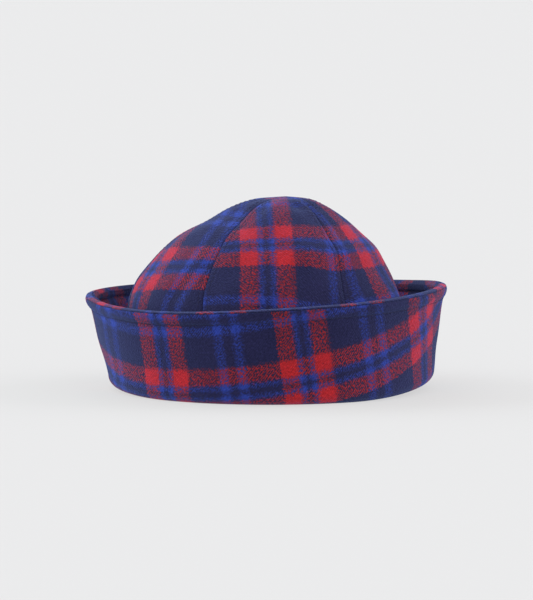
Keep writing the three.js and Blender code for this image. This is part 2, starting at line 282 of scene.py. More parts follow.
def seam_depth(half_width):
    """Share of the seam's section that shows: the seams grow shallow where the gores narrow."""
    return SHALLOW_SEAM + (1 - SHALLOW_SEAM) * smooth(half_width, NARROW_GORE, WIDE_GORE)


def gore_relief(azimuth, across, along, half_width):
    """Puff between the seams, seam section, waves and dents, added along the normal."""
    rise = smooth(along, 0, FLAT_ENDS) * smooth(1 - along, 0, FLAT_ENDS)
    puff = rise * (GORE_PUFF * (1 - across**2) - SEAM_PULL)
    from_seam = (1 - np.abs(across)) * half_width
    section = follow(SEAM_SECTION, "distance", "rise", from_seam) * seam_depth(half_width)
    away = smooth(from_seam, WAVES_FROM, WAVES_FULL)
    return puff + section + cloth_waves(azimuth, along) * away - dent_depth(azimuth, along)


def gore_face(gore, across, along):
    """Outer face of a gore and the dome's normal there."""
    azimuth, half_width = gore_azimuth(gore, across, along)
    normal = normals(crown_point, azimuth, along, 0, 1)
    relief = gore_relief(azimuth, across, along, half_width)
    return crown_point(azimuth, along) + normal * relief[..., None], normal


# %% [markdown]
# A check only looks woven if it follows the cut. Each gore is cut flat, with its warp up the
# middle. So the place of each point on the uncut cloth is worked out first: how far it lies
# across from the gore's straight middle line, and how far up that line. Each gore then has its
# own row of numbers, for where in the pattern it was cut and how it gave when it was sewn and
# steamed. Two short tables hold what soft cloth does besides: a fold that hides some of the
# pattern, and a twist that carries it sideways near the top. The place is kept in millimetres,
# in a UV map named cloth.

# %% Place of a gore on the uncut cloth
PLACE_HEIGHT = 90.0
DECIMETRE = 100
GORE_CUT = {
    # the pattern's start, then its change for each millimetre across and up the gore
    "front": {"start": (26.3, 0.1), "across": (0.956, 0.049), "up": (0.052, 0.931)},
    "front_right": {"start": (-7.5, 11.2), "across": (0.875, 0.033), "up": (-0.184, 0.972)},
    "back_right": {"start": (51.0, 38.0), "across": (0.94, 0.05), "up": (-0.06, 0.95)},
    "back": {"start": (74.0, 63.0), "across": (0.95, -0.01), "up": (0.02, 0.95)},
    "back_left": {"start": (12.0, 84.0), "across": (0.94, -0.04), "up": (0.07, 0.95)},
    "front_left": {"start": (43.9, 21.6), "across": (0.943, -0.113), "up": (0.173, 0.936)},
}
GORE_GIVE = {
    # millimetres of give at a decimetre across, at a decimetre both ways, and at a decimetre up
    "front": {"across": (1.0, 19.6), "both": (7.3, -25.1), "up": (4.0, 10.6)},
    "front_right": {"across": (-14.3, -3.0), "both": (102.7, 11.0), "up": (-59.3, -37.0)},
    "front_left": {"across": (17.5, 9.8), "both": (-10.1, -3.4), "up": (40.4, 7.1)},
}
GIVE_LOW = -30.0
GORE_FOLD = {
    # a soft fold that hides some cloth: from where to where across the pattern, and how much
    "front_right": {"start": -22.0, "end": -15.2, "hidden": 14.5},
    "front_left": {"start": 36.0, "end": 50.0, "hidden": 8.0},
}
GORE_TWIST = {
    # the pattern's shift across near the top, growing from the first height to the second
    "front_right": {"start": 20.0, "end": 62.0, "shift": 15.0},
}


def middle_azimuth(gore, along):
    """Where each ring meets the straight line, seen from above, from the top point to the middle
    of the gore's foot: the root of a quadratic."""
    start, end = seam_azimuths(gore, np.zeros(1))
    foot = crown_point((start + end) / 2, np.zeros(1))[0]
    top = crown_point(np.zeros(1), np.ones(1))[0]
    heading = (foot - top)[:2] / np.linalg.norm((foot - top)[:2])
    _, middle_x, middle_y, half_x, half_y = crown_ring(along)
    off_x, off_y = (top[0] - middle_x) / half_x, (top[1] - middle_y) / half_y
    step_x, step_y = heading[0] / half_x, heading[1] / half_y
    square = step_x**2 + step_y**2
    mixed = 2 * (off_x * step_x + off_y * step_y)
    rest = off_x**2 + off_y**2 - 1
    reach = (-mixed + np.sqrt(np.maximum(mixed**2 - 4 * square * rest, 0))) / (2 * square)
    azimuth = np.arctan2(off_x + reach * step_x, -(off_y + reach * step_y))
    centre = ((start + end) / 2)[0]
    return azimuth + 2 * np.pi * np.round((centre - azimuth) / (2 * np.pi))


def gore_place(gore, azimuth, along):
    """Distance across by Simpson's rule round the ring, distance up by adding the steps of the
    middle line, then the gore's own cut and the squares and product of its give."""
    line = along[:, 0]
    middle = middle_azimuth(gore, line)
    turn = azimuth - middle[:, None]
    speed = [ring_speed(middle[:, None] + share * turn, along) for share in (0, 0.5, 1)]
    across = turn * (speed[0] + 4 * speed[1] + speed[2]) / 6 / MM
    steps = np.linalg.norm(np.diff(crown_point(middle, line), axis=0), axis=1) / MM
    up = np.concatenate([[0], np.cumsum(steps)])[:, None] + 0 * across - PLACE_HEIGHT
    cut = {part: np.array(pair) for part, pair in GORE_CUT[gore].items()}
    place = cut["start"] + across[..., None] * cut["across"] + up[..., None] * cut["up"]
    if gore in GORE_GIVE:
        give = {part: np.array(pair) for part, pair in GORE_GIVE[gore].items()}
        wide = across[..., None] / DECIMETRE
        high = np.maximum(up, GIVE_LOW)[..., None] / DECIMETRE
        place = place + wide**2 * give["across"] + wide * high * give["both"] + high**2 * give["up"]
    if gore in GORE_TWIST:
        twist = GORE_TWIST[gore]
        place[..., 0] += twist["shift"] * smooth(up, twist["start"], twist["end"])
    if gore in GORE_FOLD:
        fold = GORE_FOLD[gore]
        place[..., 0] += fold["hidden"] * smooth(place[..., 0], fold["start"], fold["end"])
    return place


# %% [markdown]
# A wall of cloth has two faces and an edge all round. Both faces are grids of the same size, so
# one short function can join them into a closed body. Its faces are listed as corners of the two
# grids, and the UV map is read from the same corners. A ring's last column meets its first, but
# has its own place on the cloth, which is what makes a clean join in the pattern.

# %% Closed cloth from two grids
def add_object(name, data):
    """Puts a mesh, a light or a camera into the scene."""
    added = bpy.data.objects.new(name, data)
    bpy.context.scene.collection.objects.link(added)
    return added


def smooth_mesh(name, points, faces):
    """A mesh of smooth faces from a list of points and a list of their corners."""
    mesh = bpy.data.meshes.new(name)
    mesh.from_pydata(points, [], faces)
    mesh.polygons.foreach_set("use_smooth", np.ones(len(faces), bool))
    mesh.update()
    return mesh


def closed_cloth(name, outer, inner, places, is_ring=False):
    """Quads between neighbouring rows and columns of both grids, and strips between the grids
    along their rims. Columns run to the right and rows up, seen from outside. Places are the
    cloth coordinates of the outer and the inner grid."""
    rows, columns = outer.shape[:2]
    spans = columns + 1 if is_ring else columns
    column = np.arange(spans) % columns
    vertex = np.arange(rows)[:, None] * columns + column
    corner = np.arange(rows * spans).reshape(rows, spans)
    back = rows * spans
    low, high = corner[:-1], corner[1:]
    outside = np.stack([low[:, :-1], low[:, 1:], high[:, 1:], high[:, :-1]], -1).reshape(-1, 4)
    inside = outside[:, ::-1] + back
    edges = [(corner[0, 1:], corner[0, :-1]), (corner[-1, :-1], corner[-1, 1:])]
    if not is_ring:
        edges += [(corner[:-1, 0], corner[1:, 0]), (corner[1:, -1], corner[:-1, -1])]
    strips = [np.stack([start, end, end + back, start + back], -1) for start, end in edges]
    faces = np.concatenate([outside, inside, *strips])
    vertex = np.concatenate([vertex.ravel(), vertex.ravel() + rows * columns])
    points = np.concatenate([outer.reshape(-1, 3), inner.reshape(-1, 3)])
    mesh = smooth_mesh(name, points.tolist(), vertex[faces].tolist())
    flat = np.concatenate([place.reshape(-1, 2) for place in places])
    corners = flat[faces].astype(np.float32)
    mesh.uv_layers.new(name="cloth").uv.foreach_set("vector", corners.ravel())
    return add_object(name, mesh)


def mark(piece, name, values):
    """One number for each vertex, which a material can read."""
    layer = piece.data.attributes.new(name, "FLOAT", "POINT")
    layer.data.foreach_set("value", np.asarray(values, np.float32).ravel())


# %% [markdown]
# The gores are sewn one by one. Their columns crowd towards the seams, where the section changes
# within a millimetre, and spread out in the middle. The groove number marks painted shade: the
# wool is made a little darker along the seams and their stitches, where the cloth is pulled in.

# %% Sew the gores
GORE_ROWS = 110
GORE_CROWDING = 0.94
SEAM_COLUMNS = [v * MM for v in (0, 0.25, 0.5, 0.8, 1.15, 1.5, 1.9, 2.3)]
SEAM_COLUMNS += [v * MM for v in (2.65, 2.95, 3.2, 3.45, 3.8, 4.4, 5.2, 6.4)]
SEAM_COLUMNS_REACH = 0.9
MIDDLE_COLUMNS = 24
TIP_ALONG = 0.9982
INSIDE_SHARE = 0.6
# Width of the painted shade along a seam, and strength and width of the painted shade along its
# stitches.
SEAM_SHADE_WIDTH = 0.7 * MM
STITCH_SHADE, STITCH_SHADE_WIDTH = 0.5, 0.35 * MM


def gore_columns(half_width):
    """Distances from one seam, then even steps over the middle, then the same distances back to
    the other seam. Near the tip they shrink with the gore."""
    edge = np.array(SEAM_COLUMNS)
    reach = np.minimum(1, SEAM_COLUMNS_REACH * half_width / edge[-1])
    near = -1 + edge[None] * reach / half_width
    middle = np.linspace(0, 1, MIDDLE_COLUMNS + 2)[1:-1]
    span = near[:, -1:] + (-2 * near[:, -1:]) * middle[None]
    return np.concatenate([near, span, -near[:, ::-1]], axis=1)


crown = []
for gore in SEAMS:
    line = np.linspace(0, 1, GORE_ROWS) ** GORE_CROWDING * TIP_ALONG
    _, half_width = gore_azimuth(gore, np.zeros_like(line), line)
    across = gore_columns(half_width[:, None])
    along = line[:, None] + 0 * across
    azimuth, width = gore_azimuth(gore, across, along)
    outer, normal = gore_face(gore, across, along)
    relief = gore_relief(azimuth, across, along, width)
    inner = crown_point(azimuth, along) + normal * (relief * INSIDE_SHARE - CLOTH)[..., None]
    place = gore_place(gore, azimuth, along)
    piece = closed_cloth("crown_cloth_" + gore, outer, inner, [place, place])
    # Painted shade along the seam and along its row of stitches, weaker where the seams grow shallow.
    from_seam = (1 - np.abs(across)) * width
    at_seam = np.exp(-((from_seam / SEAM_SHADE_WIDTH) ** 2))
    at_stitches = np.exp(-(((from_seam - SEAM_STITCH) / STITCH_SHADE_WIDTH) ** 2))
    painted_groove_shade = (at_seam + STITCH_SHADE * at_stitches) * seam_depth(width)
    mark(piece, "painted_groove_shade", np.stack([painted_groove_shade, painted_groove_shade]))
    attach(piece, "root")
    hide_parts("crown_gore_" + gore)
    crown.append(piece)
print("crown:", len(crown), "gores,", sum(len(p.data.polygons) for p in crown), "faces")

# %% [markdown]
# The brim is one long curved band, doubled. Its outer ply lies flat under the crown's foot, goes
# round a soft fold and leans out up to the rim. Near the rim a row of stitches makes a puffed
# edge. The wall sways in and out by a millimetre or less, because steamed wool never stands
# true.

# %% The brim's surface
FLAT_END, FOLD_END, RIM = 1, 2, 3
HEM_SWELL = {
    "down": [0.0, 0.2, 0.5, 0.78, 0.92, 1.0, 1.08, 1.25, 1.6],
    "swell": [0.1, 0.6, 1.0, 0.7, 0.2, -0.16, -0.02, 0.08, 0.0],
    "inside": [0.8, 0.95, 1.0, 0.82, 0.4, -0.1, 0.0, 0.02, 0.0],
}
INNER_FRONT = CLOTH + PLY_GAP
INNER_BACK = 2 * CLOTH + PLY_GAP
RIM_THICKNESS = INNER_BACK + HEM_ALLOWANCE
RIM_ROUND = 3.4 * MM
BRIM_SWAY = [(3, 0.4, 0.45 * MM), (5, 1.9, 0.35 * MM), (9, 3.1, 0.2 * MM), (14, 5.2, 0.12 * MM)]
SWAY_SLANT = 1.2
SWAY_FULL, SWAY_EASE = 0.35, 0.7
JOIN_AZIMUTH = math.pi
JOIN_SECTION = [
    # height of a bell curve, how far it lies from the join, and its width
    (-0.8 * MM, 0.0, 0.8 * MM),
    (0.25 * MM, 2.4 * MM, 1.2 * MM),
]


def rim_height(azimuth):
    """Mean height times one plus a few slow waves round the rim."""
    share = 1
    for count, swing, crest in RIM_WAVES:
        share = share + swing * np.cos(count * (azimuth - math.radians(crest)))
    return BRIM_HEIGHT * share


def fold_top(azimuth):
    """Height where the wall starts."""
    return FOLD_RADIUS + FOLD_LIFT * lift_share(azimuth, "lift")


def brim_sway(azimuth, up):
    """Slow waves round the wall that fade out at the fold and halve at the rim."""
    rise = 0 * azimuth
    for count, phase, swing in BRIM_SWAY:
        rise = rise + swing * np.sin(count * azimuth + phase + SWAY_SLANT * up)
    return rise * smooth(up, 0, SWAY_FULL) * (1 - smooth(up, SWAY_EASE, 1) / 2)


def brim_point(azimuth, path):
    """Path 0 to 1 is the pressed flat, 1 to 2 a quarter circle round the fold, and 2 to 3 the
    wall, which goes from the fold's oval to the rim's by the wall table."""
    east, north = np.sin(azimuth), -np.cos(azimuth)
    turn = np.clip(path - FLAT_END, 0, 1) * (np.pi / 2)
    flat = -CLOTH + (FOLD_FLAT + CLOTH) * np.minimum(path, FLAT_END)
    swing = FOLD_SWING * lift_share(azimuth, "swing") * np.minimum(1, path / FOLD_END)
    reach = flat + FOLD_RADIUS * np.sin(turn) + swing
    up = np.clip(path - FOLD_END, 0, 1)
    out = follow(BRIM_WALL, "up", "out", up)
    sway = brim_sway(azimuth, up)
    low_x = CROWN_SHIFT + (FOOT_X + reach) * east
    low_y = (FOOT_Y + reach) * north
    x = low_x + (RIM_X * east - low_x) * out + sway * east
    y = low_y + (RIM_Y * north - low_y) * out + sway * north
    top = fold_top(azimuth)
    z = top - FOLD_RADIUS * np.cos(turn) + up * (rim_height(azimuth) - top)
    return np.stack([x, y, z], -1)


def path_below_rim(azimuth, drop):
    """Path value a given drop below the rim."""
    return RIM - drop / (rim_height(azimuth) - fold_top(azimuth))


def drop_below_rim(azimuth, path):
    """Drop below the rim of a path value."""
    return (RIM - path) * (rim_height(azimuth) - fold_top(azimuth))


def join_section(azimuth):
    """A narrow valley where the band's two ends are sewn together behind, and a low ridge on
    both sides of it: a sum of bell curves."""
    distance = np.abs(2 * np.sin((azimuth - JOIN_AZIMUTH) / 2)) * RIM_Y
    rise = 0 * azimuth
    for height, away, width in JOIN_SECTION:
        rise = rise + height * np.exp(-(((distance - away) / width) ** 2))
    return rise


def brim_swell(azimuth, path):
    """Puff of the hem and the section of the join, added outwards."""
    down = drop_below_rim(azimuth, path) / HEM_DEPTH
    return HEM_PUFF * follow(HEM_SWELL, "down", "swell", down) + join_section(azimuth)


def allowance_swell(azimuth, path):
    """Swell of the brim's inside over the seam allowances in its hem."""
    down = drop_below_rim(azimuth, path) / HEM_DEPTH
    return HEM_ALLOWANCE * follow(HEM_SWELL, "down", "inside", down)


def rim_round(azimuth, path):
    """Depth lost to the round of the rim: half its thickness times one minus the height of a
    circle."""
    short = 1 - np.clip(drop_below_rim(azimuth, path) / RIM_ROUND, 0, 1)
    return RIM_THICKNESS / 2 * (1 - np.sqrt(1 - short**2))


def rim_arc(drop):
    """Length of cloth round the rim from its top down to a drop: a quarter circle's arc."""
    return RIM_ROUND * np.arccos(1 - np.clip(drop / RIM_ROUND, 0, 1))


def brim_deep(azimuth, path, depth):
    """Point at a depth inside the brim's outer face."""
    normal = normals(brim_point, azimuth, path, 0, RIM)
    return brim_point(azimuth, path) - normal * np.asarray(depth)[..., None]


# %% [markdown]
# The brim's band is cut as part of a wide ring, so that it flares. Laid flat, its rows are arcs
# round a far centre, while the woven check stays straight. That is why the checks tilt and seem
# to climb towards the sides of the hat. The same few lines give the place of any point of either
# ply on the uncut cloth. Round the rim the cloth is measured along its curve, so that the weave
# keeps its size there.

# %% Place of the brim on the uncut cloth
FOLD_OVAL = 103.0
EASE_HEIGHT = 50.0
BRIM_CUT = {
    # middle of the cut and its turn in degrees, flare, size, and the pattern's start
    "outer": {"middle": -15.8, "turn": -4.4, "flare": 0.236, "size": 0.988, "start": (59.9, 16.9)},
    "inner": {"middle": 0.0, "turn": 0.0, "flare": 0.212, "size": 1.007, "start": (45.1, 81.2)},
}
OUTER_EASE = [
    # how many waves round, then cosine and sine parts across and up, steady and growing upwards
    {"count": 1, "steady": ((-2.1, -2.08), (0.91, -0.06)), "growing": ((-1.38, -0.09), (0.65, -0.35))},
    {"count": 2, "steady": ((-3.19, -0.94), (0.85, -0.41)), "growing": ((-1.88, 0.2), (-0.59, 0.13))},
    {"count": 3, "steady": ((2.45, 2.05), (-1.66, 0.53)), "growing": ((1.39, 0.05), (-0.41, -0.76))},
]


def brim_place(ply, azimuth, path, over=0.0):
    """Distance up from the fold becomes a radius, azimuth times flare an angle, and the check
    is read at that point of the flat sector, moved and turned as it was cut. The outer ply adds
    the slow waves of how it gave in the sewing. Over is the length that lies past the rim."""
    steps = np.linalg.norm(np.diff(brim_point(azimuth, path), axis=0), axis=-1)
    up = np.concatenate([0 * azimuth[:1], np.cumsum(steps, axis=0)])
    fold_row = np.searchsorted(path[:, 0], FOLD_END)
    up = (up - up[fold_row] + fold_top(azimuth) - FOLD_RADIUS + over) / MM
    cut = BRIM_CUT[ply]
    radius = FOLD_OVAL / cut["flare"]
    angle = (azimuth - math.radians(cut["middle"])) * cut["flare"]
    across = (radius + up) * np.sin(angle)
    rise = (radius + up) * np.cos(angle) - radius
    turn = math.radians(cut["turn"])
    place = np.stack(
        [
            cut["size"] * (across * math.cos(turn) - rise * math.sin(turn)) + cut["start"][0],
            cut["size"] * (across * math.sin(turn) + rise * math.cos(turn)) + cut["start"][1],
        ],
        -1,
    )
    for wave in OUTER_EASE if ply == "outer" else []:
        round_wave = np.stack([np.cos(wave["count"] * azimuth), np.sin(wave["count"] * azimuth)], -1)
        place = place + round_wave @ np.array(wave["steady"]).T
        place = place + up[..., None] / EASE_HEIGHT * (round_wave @ np.array(wave["growing"]).T)
    return place


# %% [markdown]
# Both plies are rings of columns. The columns start and end at the join behind, because the
# pattern jumps there. Rows lie close together where the hem curves, and the outer ply is sewn
# first. The inner one then runs over its edge and ends as the thin rolled band along the rim.

# %% Sew the outer ply
BRIM_COLUMNS = 480
EDGE_GAP = 0.05 * MM
FLAT_ROWS, FOLD_ROWS, WALL_ROWS = 4, 12, 30
HEM_DROPS = [v * MM for v in (12.6, 11.4, 10.5, 9.9, 9.5, 9.2, 8.9, 8.5, 7.9)]
HEM_DROPS += [v * MM for v in (7.1, 6.2, 5.3, 4.5, 3.9, 3.4, 3.0, 2.7, 2.5)]
ROLL_DROPS = [v * RIM_ROLL for v in (1.0, 0.94, 0.83, 0.69, 0.53, 0.36, 0.21, 0.09, 0.03, 0.0)]
ROLL_BEAD = [v * MM for v in (-0.1, 0.08, 0.2, 0.24, 0.22, 0.16, 0.1, 0.05, 0.02, 0.0)]
UNDER_BACK_DROPS = [v * MM for v in (2.44, 2.37)]
BACK_DROPS = [v * MM for v in (2.3, 2.0, 1.7, 1.4, 1.1, 0.8, 0.5, 0.24, 0.06, 0.0)]
PRESSED_EDGE = 0.3 * MM
TUCK_DEPTH, TUCK_WIDTH = 0.35 * MM, 0.3 * MM
UNDER_DEPTH = 0.5 * MM
GROOVE_WIDTH = 0.5 * MM
# Strength and width of the painted shade along the foot of the rolled rim.
ROLL_SHADE, ROLL_SHADE_WIDTH = 0.9, 0.25 * MM
azimuths = np.arange(BRIM_COLUMNS + 1)[None] / BRIM_COLUMNS * 2 * np.pi - math.pi


def rows_of(drops):
    """Rows of path values for a list of drops below the rim."""
    return path_below_rim(azimuths, np.array(drops)[:, None])


def brim_paths(start):
    """Rows of path values from a start on the flat up through the hem."""
    flat = np.linspace(start, FLAT_END, FLAT_ROWS)
    fold = np.linspace(FLAT_END, FOLD_END, FOLD_ROWS + 1)[1:]
    steady = np.concatenate([flat, fold])[:, None] + 0 * azimuths
    hem = rows_of(HEM_DROPS)
    wall = FOLD_END + (hem[0] - FOLD_END) * np.linspace(0, 1, WALL_ROWS + 2)[1:-1, None]
    return np.concatenate([steady, wall, hem])


def around(paths):
    """The azimuths of the columns, repeated for each row."""
    return azimuths + 0 * paths


def near_drop(paths, drop, width):
    """1 where a row lies at a drop below the rim, fading as a bell curve."""
    return np.exp(-(((drop_below_rim(around(paths), paths) - drop) / width) ** 2))


def sew_ply(name, front, back, places, painted_groove_shade, replaced):
    """Closes one ply, without the last column, which repeats the first, and gives it to the
    frame."""
    front, back, painted_groove_shade = [grid[:, :-1] for grid in (front, back, painted_groove_shade)]
    ply = closed_cloth(name, front, back, places, True)
    mark(ply, "painted_groove_shade", painted_groove_shade[None].repeat(2, 0))
    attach(ply, "root")
    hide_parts(replaced)
    return ply


paths = np.concatenate([brim_paths(0), rows_of([RIM_ROLL + EDGE_GAP])])
turns = around(paths)
tuck = TUCK_DEPTH * near_drop(paths, RIM_ROLL, TUCK_WIDTH)
front = brim_deep(turns, paths, rim_round(turns, paths) - brim_swell(turns, paths) + tuck)
back = brim_deep(turns, paths, CLOTH + 0 * paths)
# Painted shade along the hem's stitch line and along the foot of the rolled rim, where the inner ply
# tucks in.
painted_groove_shade = near_drop(paths, HEM_DEPTH, GROOVE_WIDTH) + near_drop(paths, RIM_ROLL, GROOVE_WIDTH)
places = [brim_place("outer", turns, paths)] * 2
brim_outer = sew_ply("brim_cloth_outer", front, back, places, painted_groove_shade, "brim_outer")

# %% [markdown]
# The inner ply's front needs more rows: two that lead out over the outer ply's edge, and ten for
# the roll from there to the top of the rim. Its back has as many, since both faces of a wall are
# grids of the same size.

# %% Sew the inner ply over the edge
start = (CLOTH + PRESSED_EDGE) / (CLOTH + FOLD_FLAT)
under = rows_of([RIM_ROLL + 2 * EDGE_GAP, RIM_ROLL])
under_back = rows_of(UNDER_BACK_DROPS)
roll, roll_back = rows_of(ROLL_DROPS), rows_of(BACK_DROPS)
paths = brim_paths(start)
front_paths = np.concatenate([paths, under, roll])
back_paths = np.concatenate([paths, under_back, roll_back])
front_turns, back_turns, roll_turns = around(front_paths), around(back_paths), around(roll)
bead = np.array(ROLL_BEAD)[:, None] + 0 * azimuths
roll_depth = rim_round(roll_turns, roll) - brim_swell(roll_turns, roll) - bead
wall_depth = INNER_FRONT + 0 * np.concatenate([paths, under[:1]])
front_depth = np.concatenate([wall_depth, roll_depth[:1] + UNDER_DEPTH, roll_depth])
inside = INNER_BACK + allowance_swell(back_turns, back_paths) - rim_round(back_turns, back_paths)
front = brim_deep(front_turns, front_paths, front_depth)
back = brim_deep(back_turns, back_paths, inside)
# Painted shade inside along the hem's stitch line; on the rolled band, a darker painted shade along
# its foot.
painted_groove_shade = near_drop(back_paths, HEM_DEPTH, GROOVE_WIDTH)
rim_rows = slice(-len(ROLL_DROPS) - 1, None)
painted_groove_shade[rim_rows] = ROLL_SHADE * near_drop(front_paths, RIM_ROLL, ROLL_SHADE_WIDTH)[rim_rows]
over_top = RIM_ROUND * (math.pi / 2 - 1)
roll_over = over_top + rim_arc(np.array(ROLL_DROPS))[:, None] + 0 * azimuths
over = np.concatenate([0 * paths, 0 * under, roll_over])
held = np.concatenate([paths, under, np.full_like(roll, RIM)])
back_drop = drop_below_rim(back_turns, back_paths)
back_over = over_top + np.minimum(back_drop, RIM_ROUND) - rim_arc(back_drop)
places = [
    brim_place("inner", around(held), held, over),
    brim_place("inner", back_turns, back_paths, back_over),
]
brim_inner = sew_ply("brim_cloth_inner", front, back, places, painted_groove_shade, "brim_inner")
print("brim:", len(brim_outer.data.polygons) + len(brim_inner.data.polygons), "faces")

# %% [markdown]
# The stitches are real thread, not a drawn line. One stitch is a short capsule that arches over
# the cloth and dives into it at both ends. The same small mesh is placed hundreds of times along
# its rows by whole-array sums. The hem's two rows are a piece each, and the crown's are a third.

# %% Stitches
STITCH_PITCH = 3.1 * MM
STITCH_LENGTH = 2.3 * MM
THREAD_RADIUS = 0.19 * MM
STITCH_ARCH = 0.2 * MM
STITCH_SINK = 0.12 * MM
STITCH_SIDES = 6
ROW_START, ROW_END = 0.02, 0.94
RIM_SAMPLES, SEAM_SAMPLES = 4001, 1500


def stitch_shape():
    """Points of one stitch: rings round an arched line, thinner at both ends, and its faces."""
    along = np.array([-0.5, -0.42, -0.2, 0.0, 0.2, 0.42, 0.5])
    thick = np.array([0.25, 0.75, 1.0, 1.05, 1.0, 0.75, 0.25])
    lift = STITCH_ARCH * (1 - (2 * along) ** 2) - STITCH_SINK
    turn = np.arange(STITCH_SIDES) / STITCH_SIDES * 2 * np.pi
    x = along[:, None] * STITCH_LENGTH + 0 * turn
    y = THREAD_RADIUS * thick[:, None] * np.cos(turn)
    z = THREAD_RADIUS * thick[:, None] * np.sin(turn) + lift[:, None]
    points = np.stack([x, y, z], -1).reshape(-1, 3)
    rings = len(along)
    low = np.arange(rings - 1)[:, None] * STITCH_SIDES
    side = np.arange(STITCH_SIDES)
    after = (side + 1) % STITCH_SIDES
    high = low + STITCH_SIDES
    quads = np.stack([low + side, low + after, high + after, high + side], -1)
    quads = quads.reshape(-1, 4)[:, ::-1]
    return points, quads, [side.tolist(), (side[::-1] + (rings - 1) * STITCH_SIDES).tolist()]


def evenly(points, pitch):
    """Shares of a dense line's index at even steps of its length."""
    length = np.concatenate([[0], np.cumsum(np.linalg.norm(np.diff(points, axis=0), axis=1))])
    count = int(length[-1] / pitch)
    centres = (np.arange(count) + 0.5) * length[-1] / count
    return np.interp(centres, length, np.linspace(0, 1, len(points)))


def sew(name, rows):
    """One mesh of stitches for a list of rows, each with centres, headings and normals."""
    shape, quads, ends = stitch_shape()
    centre, heading, normal = [np.concatenate([row[part] for row in rows]) for part in range(3)]
    heading = heading - normal * (heading * normal).sum(-1, keepdims=True)
    heading /= np.linalg.norm(heading, axis=-1, keepdims=True)
    side = np.cross(normal, heading)
    points = centre[:, None]
    for part, axis in enumerate((heading, side, normal)):
        points = points + shape[None, :, part, None] * axis[:, None]
    first = np.arange(len(centre))[:, None, None] * len(shape)
    faces = (quads[None] + first).reshape(-1, 4).tolist()
    for end in ends:
        faces += (np.array(end)[None] + first[:, 0]).tolist()
    piece = add_object(name, smooth_mesh(name, points.reshape(-1, 3).tolist(), faces))
    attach(piece, "root")
    print(name + ":", len(centre), "stitches")
    return piece


def brim_row(face, turn_out):
    """Centres, headings and normals of the stitches on one face of the hem."""
    dense = np.linspace(-math.pi, math.pi, RIM_SAMPLES)
    share = evenly(face(dense), STITCH_PITCH)
    azimuth = -math.pi + 2 * math.pi * share
    normal = normals(brim_point, azimuth, path_below_rim(azimuth, HEM_DEPTH), 0, RIM)
    return face(azimuth), face(azimuth + STEP) - face(azimuth - STEP), normal * turn_out


def hem_outside(azimuth):
    """The groove of the hem on the outer ply."""
    path = path_below_rim(azimuth, HEM_DEPTH)
    return brim_deep(azimuth, path, -brim_swell(azimuth, path))


def hem_inside(azimuth):
    """The groove of the hem on the inner ply."""
    path = path_below_rim(azimuth, HEM_DEPTH)
    return brim_deep(azimuth, path, INNER_BACK + allowance_swell(azimuth, path))


def gore_row(gore, side):
    """Stitches beside one seam of a gore, from the foot until the gore grows narrow."""
    dense = np.linspace(ROW_START, ROW_END, SEAM_SAMPLES)

    def line(along):
        _, half_width = gore_azimuth(gore, 0 * along, along)
        return gore_face(gore, side * (1 - SEAM_STITCH / half_width), along)

    along = ROW_START + (ROW_END - ROW_START) * evenly(line(dense)[0], STITCH_PITCH)
    centre, normal = line(along)
    return centre, line(along + STEP)[0] - line(along - STEP)[0], normal


threads = [
    sew("hem_stitches_outside", [brim_row(hem_outside, 1)]),
    sew("hem_stitches_inside", [brim_row(hem_inside, -1)]),
    sew("crown_stitches", [gore_row(gore, side) for gore in SEAMS for side in (-1, 1)]),
]

# %% [markdown]
# The wool is the heart of the lesson. A tartan is one list of coloured threads, the sett, used
# both ways. So two colour ramps hold that list, one read across the cloth and one up it. A twill
# mask, slanted ribs a little over a millimetre apart, says which thread lies on top. Brushing has
# blurred it all: noise moves the stripe edges and breaks the ribs into short dashes. The colours
# are mixed as the eye sees them and turned into light afterwards, because fine fibres of two
# colours look darker together than their average.

# %% Colours and the sett
DYES = {
    "red": (0.65, 0.152, 0.16),
    "blue": (0.175, 0.235, 0.55),
    "navy": (0.15, 0.148, 0.265),
}
SETT = [
    ("red", 11.0),
    ("blue", 3.6),
    ("navy", 3.4),
    ("blue", 3.6),
    ("red", 11.0),
    ("navy", 21.5),
    ("blue", 6.0),
    ("navy", 6.0),
    ("blue", 6.0),
    ("navy", 21.5),
]
PERIOD = sum(width for _, width in SETT)
EDGE_BLUR = 1.15
DISPLAY_GAMMA = 2.2
print("sett repeats every", PERIOD, "mm")

# %% [markdown]
# Small helpers keep the node code short: they start a material, add a node, a sum or a noise, and
# turn the sett into a ramp. A ramp has two stops for each stripe, a little inside its edges.

# %% Helpers for nodes
def new_material(name):
    """A new material, its tree of nodes and its shader."""
    material = bpy.data.materials.new(name)
    material.use_nodes = True
    return material, material.node_tree, material.node_tree.nodes["Principled BSDF"]


def feed(tree, socket, value):
    """Links an input to another node's output, or sets it to a plain value."""
    if isinstance(value, bpy.types.NodeSocket):
        tree.links.new(value, socket)
    else:
        socket.default_value = value


def add_node(tree, kind, **sockets):
    """Adds a node and sets or links its inputs by name."""
    node = tree.nodes.new(kind)
    for name, value in sockets.items():
        feed(tree, node.inputs[name], value)
    return node


def calculate(tree, operation, first, second=0.0, third=0.0):
    """One step of arithmetic on numbers or sockets."""
    node = tree.nodes.new("ShaderNodeMath")
    node.operation = operation
    for socket, value in zip(node.inputs, (first, second, third)):
        feed(tree, socket, value)
    return node.outputs[0]


def noise_on(tree, vector, scale, detail=2.0, roughness=0.5):
    """Noise over the cloth, about one spot in each length of one over scale."""
    look = {"Scale": scale, "Detail": detail, "Roughness": roughness}
    return add_node(tree, "ShaderNodeTexNoise", Vector=vector, **look)


